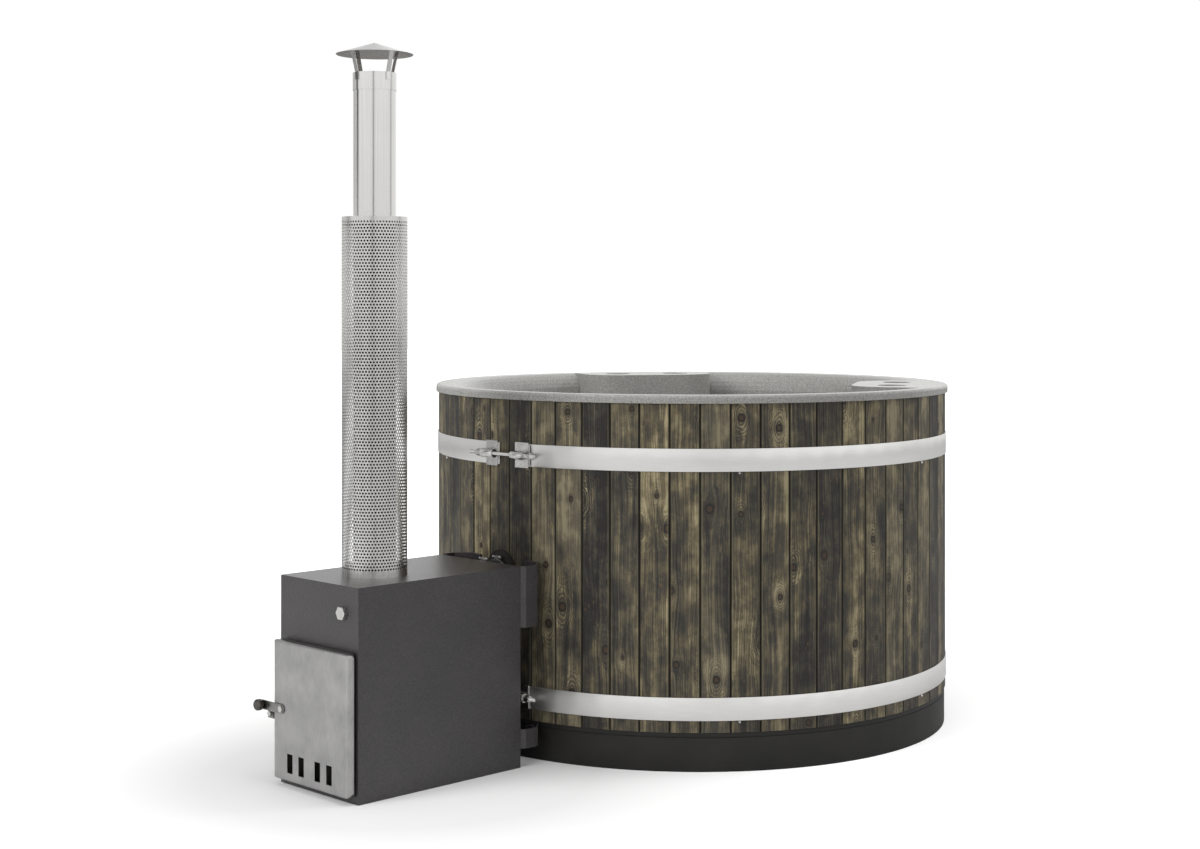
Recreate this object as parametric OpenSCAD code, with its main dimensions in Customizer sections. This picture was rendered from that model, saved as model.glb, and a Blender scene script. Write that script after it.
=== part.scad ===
// Round boarded hot tub with a moulded liner, two steel straps and an outside
// wood stove. The origin is the tub's centre on the floor, +Z is up, and the
// stove's door faces -Y. Lengths are in millimetres.

/* [Tub] */
// Outer radius of the boarded wall
wall_r = 750; // [720:5:850]
// Height of the rim's top above the floor
tub_h = 980; // [930:10:1080]
// Width of a wall board with its seam
board_w = 80; // [70:1:95]
// Thickness of a wall board
board_t = 18; // [14:1:22]
// Width of the bevel on each long edge of a board
board_bevel = 4; // [2:0.5:6]
// Height of the pan under the boards
pan_h = 102; // [90:2:120]
// Wall of the pan
pan_t = 6; // [4:1:8]
// Height of the lip that carries the boards
pan_lip_h = 12; // [8:1:18]

/* [Liner] */
// Wall of the moulded liner
liner_t = 6; // [4:1:8]
// Width of the flat rim, from its outer edge to the inner wall
rim_w = 89; // [75:1:105]
// Height of the lip that hangs over the boards
lip_h = 22; // [18:1:30]
// Radius of the rolled edge of the rim
rim_roll_r = 8; // [6.5:0.5:12]
// Height of the bench above the floor
bench_h = 450; // [400:10:520]
// Height of the liner's floor above the ground
floor_h = 130; // [124:2:150]
// Radius of the foot well
well_r = 300; // [260:10:340]
// Angle of each cup tray from the far side
tray_angle = 57; // [45:1:70]
// Distance of the trays' rounded ends from the centre
tray_r = 611; // [601:5:616]
// Radius of a tray's rounded ends
lobe_r = 116; // [96:5:116]
// Half the angle between the two ends of a tray
lobe_spread = 9; // [6:1:11]
// Radius of a cup recess
cup_r = 41; // [34:1:45]
// Depth of a cup recess
cup_depth = 14; // [8:1:20]

/* [Straps] */
// Height of a strap
strap_h = 60; // [50:1:70]
// Thickness of a strap
strap_t = 2; // [1:0.5:3]
// Distance from the rim's top down to the upper strap's bottom edge
upper_strap_drop = 199.5; // [160:0.5:240]
// Bottom edge of the lower strap
lower_strap_z = 133.5; // [130:0.5:150]
// Width of a strap lug
lug_w = 48; // [40:1:56]
// Height of a strap lug
lug_h = 68; // [62:1:76]
// Gap between the two lugs of a strap
lug_gap = 70; // [60:1:90]
// Thickness of a lug's plate
lug_t = 2.5; // [2:0.5:3.5]
// Outer radius of a lug's channel
channel_r = 12; // [10:0.5:13]
// Radius of the tension rod
rod_r = 5; // [4:0.5:6]
// Length of a tension nut
nut_len = 20; // [14:1:26]
// Rod standing out past the left nut
rod_left = 29; // [15:1:40]
// Rod standing out past the right nut
rod_right = 17; // [10:1:40]
// Angle of the straps' ends from the stove's middle
strap_turn = 1.6; // [-4:0.2:4]

/* [Stove] */
// Width of the stove
stove_w = 324; // [318:2:360]
// Depth of the stove
stove_d = 528; // [500:4:580]
// Height of the stove
stove_h = 528; // [500:4:560]
// Gap between the stove's back and the boards
stove_gap = 78; // [72:1:100]
// Thickness of the stove's sheet
sheet_t = 3; // [2:0.5:4]
// Wall of the fire chamber
fire_t = 4; // [3:0.5:6]
// Water space round the fire chamber
water_space = 36; // [30:1:37]
// Water space behind the fire chamber
water_back = 57; // [50:1:70]
// Height of the grate above the ground
grate_z = 100; // [90:1:110]
// Depth of the water outlet's axis below the stove's top
outlet_drop = 31; // [31:1:58]
// Height of the water return above the ground
return_z = 270; // [240:2:300]
// Depth of the hex plug's centre below the stove's top
plug_drop = 67; // [58:1:98]
// Sideways place of the hex plug
plug_x = 102; // [60:1:110]
// Width of the hex plug across its flats
plug_af = 31; // [26:1:40]

/* [Door] */
// Width of the door
door_w = 306; // [304:1:312]
// Bottom edge of the door
door_z = 18; // [14:1:24]
// Distance from the stove's top down to the door's top edge
door_drop = 159; // [150:1:165]
// How far the door stands out of the stove's front
door_out = 29; // [27:1:32]
// Thickness of the door's sheet
door_t = 2; // [1.5:0.25:2.5]
// Radius of the door's corners
door_corner = 10; // [8:1:14]
// Rounding of the door's front edges
door_edge = 7; // [6:0.5:9]
// Half the width of the fire opening
opening_half = 100; // [90:1:100]
// Distance from the stove's top down to the fire opening
opening_drop = 198; // [198:2:228]
// Width of an air slot
slot_w = 23; // [16:1:25]
// Height of an air slot
slot_h = 48; // [36:1:50]
// Distance of the inner air slots from the middle
slot_inner_x = 34; // [28:1:38]
// Distance of the outer air slots from the middle
slot_outer_x = 82; // [72:1:84]
// Radius of a hinge pin
pin_r = 3; // [2.5:0.25:3.25]

/* [Latch] */
// Sideways place of the latch pivot
latch_x = -117; // [-122:1:-110]
// Height of the latch pivot
latch_z = 197; // [190:1:220]
// Length of the handle from its pivot to the grip's centre
latch_len = 82; // [76:1:100]
// Width of the handle strip
latch_w = 24; // [20:1:28]
// Thickness of the handle strip
latch_t = 3; // [2:0.5:4]
// Radius of the grip
grip_r = 14.5; // [12:0.5:18]
// Length of the grip
grip_len = 20; // [16:1:36]

/* [Flue] */
// Outer radius of the flue pipe
flue_r = 54; // [50:1:58]
// Top of the flue pipe
flue_top = 1806; // [1650:10:1900]
// Distance of the flue's axis behind the stove's front
flue_back = 174; // [150:2:220]
// Wall of the flue's thin sheet
flue_t = 1; // [0.75:0.25:1.5]
// Outer radius of the heat guard
guard_r = 83; // [78:1:90]
// Height of the heat guard
guard_h = 911; // [800:5:950]
// Height of the cap's sleeve
sleeve_h = 45; // [35:1:60]
// Radius of the cap's cone
cone_r = 98.5; // [90:0.5:115]
// Height of the cap's cone
cone_h = 30; // [24:1:40]
// Gap from the top of the pipe to the cone's rim
cone_gap = 48; // [40:1:60]
// Width of a cap strut
strut_w = 13; // [10:1:16]

/* [Plumbing] */
// Outer radius of the water tubes
tube_r = 25; // [22:0.5:26]
// Wall of the water tubes
tube_t = 3; // [2:0.5:4]
// Wall of a hose
hose_t = 3.8; // [3:0.2:4.2]
// Radius of a wall flange
flange_r = 52.5; // [46:0.5:56]
// Thickness of a wall flange
flange_t = 8; // [6:0.5:10]
// Width of a hose clamp
clamp_w = 10; // [8:0.5:10]
// Radius of the drain's bore
drain_r = 20; // [16:1:24]
// Height of the drain pipe's axis
drain_z = 58; // [54:1:62]

/* [Hidden] */
// Fits and cuts
gap = 0.3;
run_gap = 0.08;
weld_gap = 0.05;
over = 2;
$fn = 64;

// Wall boards
board_count = round(2 * PI * wall_r / board_w);
step = 360 / board_count;
first_board = -90.85;
board_top = tub_h - liner_t - gap;
half_w = wall_r * tan(step / 2) - board_bevel;
face_r = sqrt(wall_r * wall_r - half_w * half_w);
back_r = face_r - board_t;

// Liner
lip_clear = 1;
lip_r = wall_r + lip_clear + liner_t;
inner_r = lip_r - rim_w;
bench_draft = 18;
bench_r = inner_r - bench_draft;
well_draft = 20;
bench_round = 40;
well_round = 50;
rim_round = 60;
round_steps = 6;
tray_more = 1;

// Inside of the liner, from its axis at the floor up to the rim, grown by d
function liner_in(d) = [
    [well_r + d, floor_h - d, well_round + d],
    [well_r + well_draft + d, bench_h - d, bench_round - d],
    [bench_r + d, bench_h - d, well_round + d],
    [inner_r + d, tub_h - d, rim_round - d]
];
// Points that round the corner p[1] between p[0] and p[2] by radius r
function corner(p, r) =
    let (u = (p[0] - p[1]) / norm(p[0] - p[1]),
         v = (p[2] - p[1]) / norm(p[2] - p[1]),
         half = acos(u * v) / 2,
         mid = (u + v) / norm(u + v),
         c = p[1] + mid * r / sin(half),
         a = p[1] + u * r / tan(half) - c,
         b = p[1] + v * r / tan(half) - c,
         turn = atan2(a[0] * b[1] - a[1] * b[0], a * b))
    [for (i = [0 : round_steps])
        let (t = turn * i / round_steps)
        c + [a[0] * cos(t) - a[1] * sin(t), a[0] * sin(t) + a[1] * cos(t)]];
function flat(p) = [p[0], p[1]];
// Rounded inside line, whose last corner turns to the point past
function inside_line(d, past) =
    let (q = liner_in(d), all = concat([[0, q[0][1]]], [for (p = q) flat(p)], [past]))
    concat([all[0]], [for (i = [1 : len(q)])
        each corner([all[i - 1], all[i], all[i + 1]], q[i - 1][2])]);

// Straps
upper_strap_z = tub_h - upper_strap_drop;
strap_in = wall_r + gap;
strap_out = strap_in + strap_t;
lug_x = lug_gap / 2 + lug_w / 2;
lug_turn = asin(lug_x / strap_out);
channel_t = 2.5;
rod_out = strap_out + channel_r + lug_t;
rod_line_y = -rod_out * cos(lug_turn);
strap_end_past = 6;
slot_wide = 4;
slot_margin = 3;
nut_af = 17;
screw_first = 11.6;
screw_step = 77.8;
screw_count = 5;
screw_head_r = 4;
screw_head_h = 2.5;
screw_shank_r = 2;
screw_len = 14;
hoop_t = 18;
upper_hoop_z = upper_strap_z;
lower_hoop_z = lower_strap_z;

// Pan and bearers
pan_inset = 3;
pan_r = wall_r - pan_inset;
pan_ledge = board_t + pan_t;
pan_groove = 2;
bearer_w = 45;
bearer_pitch = 220;
bearer_top = floor_h - liner_t;
bearer_margin = 12;

// Stove
outlet_z = stove_h - outlet_drop;
plug_z = stove_h - plug_drop;
stove_back = -wall_r - stove_gap;
stove_front = stove_back - stove_d;
fire_half = stove_w / 2 - sheet_t - water_space;
fire_back = stove_back - sheet_t - water_back;
fire_front = stove_front + sheet_t;
fire_floor = 40;
fire_drop = 108;
fire_top = stove_h - fire_drop;
rail_w = 8;
rail_t = 4;
bar_t = 10;
bar_pitch = 22;
grate_h = 10;
grate_side = 3;
baffle_t = 5;
baffle_drop = 176;
baffle_z = stove_h - baffle_drop;
baffle_from = 64;
plug_t = 11;
plug_shank_r = 12;
plug_shank_len = 12;

// Rear brackets
bracket_t = 4;
root_w = 24;
jog = 10;
bracket_run = 41;
foot_inset = 30;
foot_w = 42;
upper_bracket_h = 161;
upper_bracket_z = stove_h - upper_bracket_h;
lower_bracket_z = 50;
lower_bracket_h = 50;
foot_out = stove_w / 2 - foot_inset;
foot_screw_share = 0.25;

// Door
door_gap = 5.5;
door_back = stove_front - door_gap;
door_front = stove_front - door_out;
door_top = stove_h - door_drop;
opening_top = stove_h - opening_drop;
slot_z = door_z + 22;
pin_in = 10;
pin_deep = 8.5;
pin_x = door_w / 2 - pin_in;
pin_y = stove_front - door_gap - pin_deep;
eye_r = 6;
eye_h = 16;
hinge_end = 45;
lug_plate = 4;
lug_play = 0.4;
arm_t = 3;
arm_reach = 22;
arm_foot = 5;
pad_half = 112;
pad_low = door_z + 16;
pad_high = opening_top + 12;
pad_t = 3;
seal_w = 10;
seal_t = 6.7;
pin_head_h = 2;
pin_head_r = 4.5;

// Latch
latch_bolt_r = 4;
latch_back = door_front - gap;
latch_front = latch_back - latch_t;
keeper_t = 3;
keeper_z = 164;
keeper_h = 24;
keeper_lap = 26;
keeper_reach = 24;
keeper_side = stove_w / 2 + gap;
keeper_bolt_x = -keeper_side - 12;
keeper_bolt_r = 4;
keeper_head_af = 13;
keeper_head_h = 6;
grip_round = 7;

// Flue
flue_y = stove_front + flue_back;
stub_up = 40;
sleeve_r = flue_r + gap + flue_t;
strut_t = 1.5;
strut_lap = 20;
strut_top_r = 70;
cone_z = flue_top + cone_gap;
spacer_w = 12;
spacer_h = 15;
spacer_end = 17;
guard_screw_r = 3;
guard_turn = -36;

// Plumbing
tail_len = 34;
flange_y = -wall_r - gap;
flange_face = flange_y - flange_t;
hose_start = stove_back + over;
hose_end = flange_face - over;
clamp_t = 1;
clamp_first = stove_back + 13;
clamp_last = flange_face - 9;
housing_w = 18;
housing_h = 9;
clamp_screw_r = 3.5;
clamp_screw_len = 34;
nut_r = 40;
nut_t = 12;
hole_clear = 0.5;
drain_flange_r = 45;
drain_flange_t = 3;
stopper_r = 26;
stopper_t = 12;
drain_out = 34;
cap_len = 22;

wood = "#5d5747";
liner_grey = "#a9a8a5";
steel = "#c9c8c6";
paint = "#58565a";
black = "#2b2a28";

// Cylinder along Y from y0 to y1, centred on x and z
module rod_y(x, z, y0, y1, r, sides = 64) {
    translate([x, y0, z]) rotate([-90, 0, 0]) cylinder(h = y1 - y0, r = r, $fn = sides);
}
// Cylinder along X from x0 to x1, centred on y and z
module rod_x(y, z, x0, x1, r, sides = 64) {
    translate([x0, y, z]) rotate([0, 90, 0]) cylinder(h = x1 - x0, r = r, $fn = sides);
}
// Box between two corners
module block(low, high) {
    translate(low) cube(high - low);
}
// Ring round the tub's axis
module ring(r0, r1, z0, z1, sides = 180) {
    translate([0, 0, z0]) difference() {
        cylinder(h = z1 - z0, r = r1, $fn = sides);
        translate([0, 0, -over]) cylinder(h = z1 - z0 + 2 * over, r = r0, $fn = sides);
    }
}
// Tube along Y
module tube_y(x, z, y0, y1, r1, r0) {
    difference() {
        rod_y(x, z, y0, y1, r1);
        rod_y(x, z, y0 - over, y1 + over, r0);
    }
}

// Moulded liner
module liner_void(d) {
    rotate_extrude($fn = 180)
        polygon(concat(inside_line(d, [lip_r, tub_h - d]), [[inner_r + rim_round + over, tub_h - d],
            [inner_r + rim_round + over, tub_h + over], [0, tub_h + over]]));
}
module liner_solid() {
    rotate_extrude($fn = 180)
        polygon(concat(inside_line(liner_t, [lip_r - liner_t, tub_h - liner_t]),
            [[lip_r - liner_t, tub_h - liner_t], [lip_r - liner_t, tub_h - lip_h],
             [lip_r, tub_h - lip_h]],
            corner([[lip_r, tub_h - lip_h], [lip_r, tub_h], [0, tub_h]], rim_roll_r),
            [[0, tub_h]]));
}
module tray_pair(r, z0, z1) {
    out = inner_r + rim_round + over;
    mid = tray_r * cos(lobe_spread);
    half = tray_r * sin(lobe_spread);
    for (side = [-1, 1])
        rotate([0, 0, 90 + side * tray_angle]) translate([0, 0, z0]) linear_extrude(z1 - z0) {
            translate([mid - r, -half]) square([out - mid + r, 2 * half]);
            for (spread = [-1, 1])
                rotate([0, 0, spread * lobe_spread]) translate([tray_r, 0]) {
                    circle(r = r);
                    translate([0, -r]) square([out - tray_r, 2 * r]);
                }
        }
}
module cups(r, z0, z1) {
    for (side = [-1, 1])
        for (spread = [-1, 1])
            rotate([0, 0, 90 + side * tray_angle + spread * lobe_spread])
                translate([tray_r, 0, z0]) cylinder(h = z1 - z0, r = r);
}
module tub_liner() color(liner_grey) {
    difference() {
        union() {
            difference() {
                liner_solid();
                liner_void(0);
            }
            intersection() {
                liner_solid();
                tray_pair(lobe_r, bench_h - liner_t, tub_h);
            }
        }
        difference() {
            tray_pair(lobe_r - liner_t, bench_h - liner_t - over, tub_h - liner_t - tray_more);
            cups(cup_r + liner_t, tub_h - cup_depth - liner_t, tub_h);
        }
        cups(cup_r, tub_h - cup_depth, tub_h + over);
        for (z = [outlet_z, return_z])
            rod_y(0, z, -wall_r, -well_r / 2, tube_r + hole_clear);
        translate([0, 0, floor_h - liner_t - over])
            cylinder(h = liner_t + 2 * over, r = drain_r + tube_t + hole_clear);
    }
}

// Stained boards, one flat bevelled board repeated round the wall
module one_board() {
    side = tan(step / 2);
    translate([0, 0, pan_h]) linear_extrude(board_top - pan_h) polygon([
        [back_r, back_r * side - gap / 2],
        [face_r - board_bevel, (face_r - board_bevel) * side - gap / 2],
        [face_r, face_r * side - board_bevel],
        [face_r, board_bevel - face_r * side],
        [face_r - board_bevel, gap / 2 - (face_r - board_bevel) * side],
        [back_r, gap / 2 - back_r * side]]);
}
module band_screw_places(z) {
    for (i = [0 : screw_count - 1])
        rotate([0, 0, screw_first + i * screw_step])
            translate([0, 0, z - screw_head_r - gap]) rotate([0, 90, 0]) children();
}
module hose_holes() {
    for (z = [outlet_z, return_z])
        rod_y(0, z, -wall_r - over, -back_r + 2 * board_t, tube_r + hole_clear);
}
module hose_board() color(wood) {
    difference() {
        rotate([0, 0, first_board]) one_board();
        hose_holes();
    }
}
module wall_boards() color(wood) {
    difference() {
        for (i = [1 : board_count - 1])
            rotate([0, 0, first_board + i * step]) one_board();
        hose_holes();
        for (z = [upper_strap_z, lower_strap_z])
            band_screw_places(z)
                translate([0, 0, wall_r - screw_len - gap])
                    cylinder(h = screw_len + 2 * over, r = screw_shank_r + gap, $fn = 24);
        bracket_screw_cuts(upper_bracket_z, upper_bracket_h);
    }
}
module hoop_battens() color("#8a7a5c") {
    hoop_out = back_r - gap;
    ring(hoop_out - hoop_t, hoop_out, upper_hoop_z, upper_hoop_z + strap_h);
    ring(hoop_out - hoop_t, hoop_out, lower_hoop_z, lower_hoop_z + strap_h);
}

// Pan and the bearers that carry the liner's floor
module base_pan() color(black) {
    groove_z = pan_h - pan_lip_h;
    difference() {
        rotate_extrude($fn = 180) polygon([
            [0, 0],
            [pan_r, 0],
            [pan_r, groove_z - pan_groove],
            [pan_r - pan_groove, groove_z - pan_groove],
            [pan_r - pan_groove, groove_z],
            [pan_r, groove_z],
            [pan_r, pan_h],
            [pan_r - pan_ledge, pan_h],
            [pan_r - pan_ledge, groove_z],
            [pan_r - pan_t, groove_z - pan_t],
            [pan_r - pan_t, pan_t],
            [0, pan_t]]);
        rod_x(0, drain_z, -pan_r - over, -pan_r / 2, drain_r + tube_t + hole_clear);
        bracket_screw_cuts(lower_bracket_z, lower_bracket_h);
    }
}
module floor_bearers() color("#9b8a66") {
    for (i = [-3, -1, 1, 3]) {
        y = i * bearer_pitch / 2;
        reach = sqrt(pow(pan_r - pan_ledge - bearer_margin, 2) - pow(abs(y) + bearer_w / 2, 2));
        block([-reach, y - bearer_w / 2, pan_t], [reach, y + bearer_w / 2, bearer_top]);
    }
}

// Straps with their lugs, rods and nuts
module strap(z) {
    difference() {
        ring(strap_in, strap_out, z, z + strap_h);
        rotate([0, 0, strap_turn]) {
            block([strap_end_past - lug_gap / 2, -strap_out - over, z - over],
                  [lug_gap / 2, -strap_in / 2, z + strap_h + over]);
            block([lug_gap / 2 + lug_w + slot_margin, -strap_out - over, z + slot_margin],
                  [lug_gap / 2 + lug_w + slot_margin + slot_wide, -strap_in / 2,
                   z + strap_h - slot_margin]);
        }
    }
}
module strap_lugs(z) {
    mid = z + strap_h / 2;
    for (side = [-1, 1])
        rotate([0, 0, strap_turn]) difference() {
            union() {
                rotate([0, 0, side * lug_turn])
                    block([-lug_w / 2, -strap_out - gap - lug_t, mid - lug_h / 2],
                          [lug_w / 2, -strap_out - gap, mid + lug_h / 2]);
                rod_x(rod_line_y, mid, side * lug_x - lug_w / 2, side * lug_x + lug_w / 2, channel_r);
            }
            rod_x(rod_line_y, mid, side * lug_x - lug_w, side * lug_x + lug_w, channel_r - channel_t);
        }
}
module tension_rod(z) {
    end = lug_gap / 2 + lug_w + gap + nut_len;
    rotate([0, 0, strap_turn])
        rod_x(rod_line_y, z + strap_h / 2, -end - rod_left, end + rod_right, rod_r, 32);
}
module upper_band() color(steel) {
    strap(upper_strap_z);
}
module lower_band() color(steel) {
    strap(lower_strap_z);
}
module upper_band_lugs() color(steel) {
    strap_lugs(upper_strap_z);
}
module lower_band_lugs() color(steel) {
    strap_lugs(lower_strap_z);
}
module upper_tension_rod() color(steel) {
    tension_rod(upper_strap_z);
}
module lower_tension_rod() color(steel) {
    tension_rod(lower_strap_z);
}
module tension_nuts() color(steel) {
    start = lug_gap / 2 + lug_w + gap;
    for (z = [upper_strap_z, lower_strap_z])
        for (from = [-start - nut_len, start])
            rotate([0, 0, strap_turn]) difference() {
                rod_x(rod_line_y, z + strap_h / 2, from, from + nut_len, nut_af / sqrt(3), 6);
                rod_x(rod_line_y, z + strap_h / 2, from - over, from + nut_len + over,
                      rod_r + weld_gap, 32);
            }
}
module band_screws() color(steel) {
    for (z = [upper_strap_z, lower_strap_z])
        band_screw_places(z) {
            translate([0, 0, wall_r - screw_len])
                cylinder(h = screw_len + gap + weld_gap, r = screw_shank_r, $fn = 24);
            translate([0, 0, wall_r + gap])
                cylinder(h = screw_head_h, r1 = screw_head_r, r2 = screw_head_r / 2, $fn = 32);
        }
}

// Stove case with its water jacket, fire chamber and what lies in it
module stove_casing() color(paint) {
    half = stove_w / 2;
    difference() {
        block([-half, stove_front, 0], [half, stove_back, stove_h]);
        block([sheet_t - half, stove_front + sheet_t, sheet_t],
              [half - sheet_t, stove_back - sheet_t, stove_h - sheet_t]);
        block([-opening_half, stove_front - over, fire_floor + fire_t],
              [opening_half, stove_front + sheet_t + over, opening_top]);
        translate([0, flue_y, stove_h - sheet_t - over])
            cylinder(h = sheet_t + 2 * over, r = flue_r - flue_t - gap + weld_gap);
        rod_y(plug_x, plug_z, stove_front - over, stove_front + sheet_t + over,
              plug_shank_r + weld_gap);
        for (z = [outlet_z, return_z])
            rod_y(0, z, stove_back - sheet_t - over, stove_back + over, tube_r + weld_gap);
    }
}
module jacket_plug() color(steel) {
    translate([plug_x, stove_front, plug_z]) rotate([90, 0, 0]) {
        cylinder(h = plug_t, r = plug_af / sqrt(3), $fn = 6);
        translate([0, 0, -plug_shank_len]) cylinder(h = plug_shank_len, r = plug_shank_r);
    }
}
module firebox() color("#3c3b3a") {
    stub_r = flue_r - flue_t - gap;
    difference() {
        union() {
            block([-fire_half, fire_front, fire_floor], [fire_half, fire_back, fire_top]);
            translate([0, flue_y, fire_top - fire_t])
                cylinder(h = stove_h + stub_up - fire_top + fire_t, r = stub_r);
        }
        block([fire_t - fire_half, fire_front - over, fire_floor + fire_t],
              [fire_half - fire_t, fire_back - fire_t, fire_top - fire_t]);
        translate([0, flue_y, fire_top - fire_t - over])
            cylinder(h = stove_h + stub_up + 2 * over - fire_top + fire_t, r = stub_r - fire_t);
    }
    for (z = [grate_z, baffle_z])
        for (side = [-1, 1]) {
            edge = side * (fire_half - fire_t);
            block([min(edge, edge - side * rail_w), fire_front, z - rail_t],
                  [max(edge, edge - side * rail_w), fire_back - fire_t, z]);
        }
    for (side = [-1, 1])
        for (y = [fire_front, fire_back - rail_w])
            block([side * fire_half / 2 - rail_w / 2, y, sheet_t],
                  [side * fire_half / 2 + rail_w / 2, y + rail_w, fire_floor]);
}
module fire_grate() color("#4a4846") {
    half = fire_half - fire_t - grate_side;
    near = fire_front + grate_side;
    far = fire_back - fire_t - grate_side;
    difference() {
        block([-half, near, grate_z], [half, far, grate_z + grate_h]);
        for (x = [bar_t : bar_pitch : 2 * half - bar_pitch])
            block([x - half, near + bar_t, grate_z - over],
                  [x - half + bar_pitch - bar_t, far - bar_t, grate_z + grate_h + over]);
    }
}
module smoke_baffle() color("#4a4846") {
    half = fire_half - fire_t - grate_side;
    block([-half, fire_front + baffle_from, baffle_z],
          [half, fire_back - fire_t - grate_side, baffle_z + baffle_t]);
}
module water_stubs() color(paint) {
    for (z = [outlet_z, return_z])
        tube_y(0, z, stove_back - sheet_t - over, stove_back + tail_len - sheet_t, tube_r,
               tube_r - tube_t);
}

// Rear brackets that tie the stove to the tub, folded from the line p by thickness t
function wall_at(x, r) = -sqrt(r * r - x * x);
function left(a, b) = [a[1] - b[1], b[0] - a[0]] / norm(b - a);
function folded(p, t) = concat(p, [for (i = [len(p) - 1 : -1 : 0])
    let (before = left(p[max(i - 1, 0)], p[max(i, 1)]),
         after = left(p[min(i, len(p) - 2)], p[min(i + 1, len(p) - 1)]))
    p[i] + (before + after) * t / (1 + before * after)]);
module bracket_outline(r) {
    x0 = stove_w / 2;
    y0 = stove_back + gap;
    polygon(folded([
        [x0 - root_w, y0],
        [x0, y0],
        [x0 + jog, y0 + jog],
        [x0 + jog, y0 + jog + bracket_run],
        [foot_out, wall_at(foot_out, r) - 2 * gap],
        [foot_out - foot_w, wall_at(foot_out - foot_w, r) - 2 * gap]], bracket_t));
}
module bracket_pair(z, h, r) {
    for (side = [0, 1])
        mirror([side, 0, 0]) difference() {
            translate([0, 0, z]) linear_extrude(h) bracket_outline(r);
            bracket_screw_cuts(z, h);
        }
}
module foot_screw_places(z, h) {
    x = foot_out - foot_w / 2;
    for (side = [-1, 1])
        for (share = [foot_screw_share, 1 - foot_screw_share])
            rotate([0, 0, side * asin(x / wall_r)])
                translate([0, -wall_r, z + h * share]) rotate([90, 0, 0]) children();
}
module bracket_screw_cuts(z, h) {
    foot_screw_places(z, h)
        translate([0, 0, -screw_len - pan_inset])
            cylinder(h = 2 * screw_len, r = screw_shank_r + gap, $fn = 24);
}
module upper_stove_brackets() color(paint) {
    bracket_pair(upper_bracket_z, upper_bracket_h, wall_r);
}
module lower_stove_brackets() color(paint) {
    bracket_pair(lower_bracket_z, lower_bracket_h, pan_r);
}
module bracket_screws() color(steel) {
    for (place = [[upper_bracket_z, upper_bracket_h, 0], [lower_bracket_z, lower_bracket_h, 1]])
        foot_screw_places(place[0], place[1])
            translate([0, 0, -place[2] * (wall_r - pan_r)]) {
                under = bracket_t + 3 * gap;
                translate([0, 0, gap - screw_len])
                    cylinder(h = screw_len + under, r = screw_shank_r, $fn = 24);
                translate([0, 0, under])
                    cylinder(h = screw_head_h, r = screw_head_r, $fn = 32);
            }
}

// Door: a pressed pan with lugs and pins inside its right edge
module pan_shape(half, z0, z1, y0, y1, corner_r, edge_r) {
    intersection() {
        translate([0, y1, 0]) rotate([90, 0, 0]) linear_extrude(y1 - y0) {
            translate([-half, z0 + corner_r]) square([2 * half, z1 - z0 - 2 * corner_r]);
            translate([corner_r - half, z0]) square([2 * (half - corner_r), z1 - z0]);
            for (x = [corner_r - half, half - corner_r])
                for (z = [z0 + corner_r, z1 - corner_r])
                    translate([x, z]) circle(r = corner_r);
        }
        translate([0, 0, z0]) linear_extrude(z1 - z0) {
            translate([-half, y0 + edge_r]) square([2 * half, y1 - y0 - edge_r]);
            translate([edge_r - half, y0]) square([2 * (half - edge_r), y1 - y0]);
            for (x = [edge_r - half, half - edge_r])
                translate([x, y0 + edge_r]) circle(r = edge_r);
        }
        translate([-half, 0, 0]) rotate([90, 0, 90]) linear_extrude(2 * half) {
            translate([y0 + edge_r, z0]) square([y1 - y0 - edge_r, z1 - z0]);
            translate([y0, z0 + edge_r]) square([y1 - y0, z1 - z0 - 2 * edge_r]);
            for (z = [z0 + edge_r, z1 - edge_r])
                translate([y0 + edge_r, z]) circle(r = edge_r);
        }
    }
}
module air_slots(y0, y1) {
    for (x = [-slot_outer_x, -slot_inner_x, slot_inner_x, slot_outer_x])
        block([x - slot_w / 2, y0, slot_z], [x + slot_w / 2, y1, slot_z + slot_h]);
}
module door_inside(d) {
    t = door_t + d;
    pan_shape(door_w / 2 - t, door_z + t, door_top - t, door_front + t, door_back + door_edge,
              door_corner - t, door_edge - t);
}
module stove_door() color("#a3a29f") {
    half = door_w / 2;
    difference() {
        pan_shape(half, door_z, door_top, door_front, door_back, door_corner, door_edge);
        door_inside(0);
        air_slots(door_front - over, door_front + door_t + over);
        rod_y(latch_x, latch_z, door_front - over, door_front + door_t + over,
              latch_bolt_r + weld_gap, 32);
    }
}
hinge_zs = [door_z + hinge_end, door_top - hinge_end];
module door_lugs() color("#a3a29f") {
    for (z = hinge_zs)
        for (low = [z - eye_h / 2 - lug_play - lug_plate, z + eye_h / 2 + lug_play])
            difference() {
                intersection() {
                    block([pin_x - eye_r, door_front + door_t, low],
                          [door_w / 2 - door_t, pin_y + eye_r, low + lug_plate]);
                    door_inside(weld_gap);
                }
                translate([pin_x, pin_y, low - over])
                    cylinder(h = lug_plate + 2 * over, r = pin_r + weld_gap, $fn = 32);
            }
}
module hinge_pins() color(steel) {
    for (z = hinge_zs) {
        top = z + eye_h / 2 + lug_play + lug_plate + weld_gap;
        low = z - eye_h / 2 - lug_play - lug_plate - over;
        translate([pin_x, pin_y, low]) cylinder(h = top - low + pin_head_h, r = pin_r, $fn = 32);
        translate([pin_x, pin_y, top]) cylinder(h = pin_head_h, r = pin_head_r, $fn = 32);
    }
}
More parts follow.
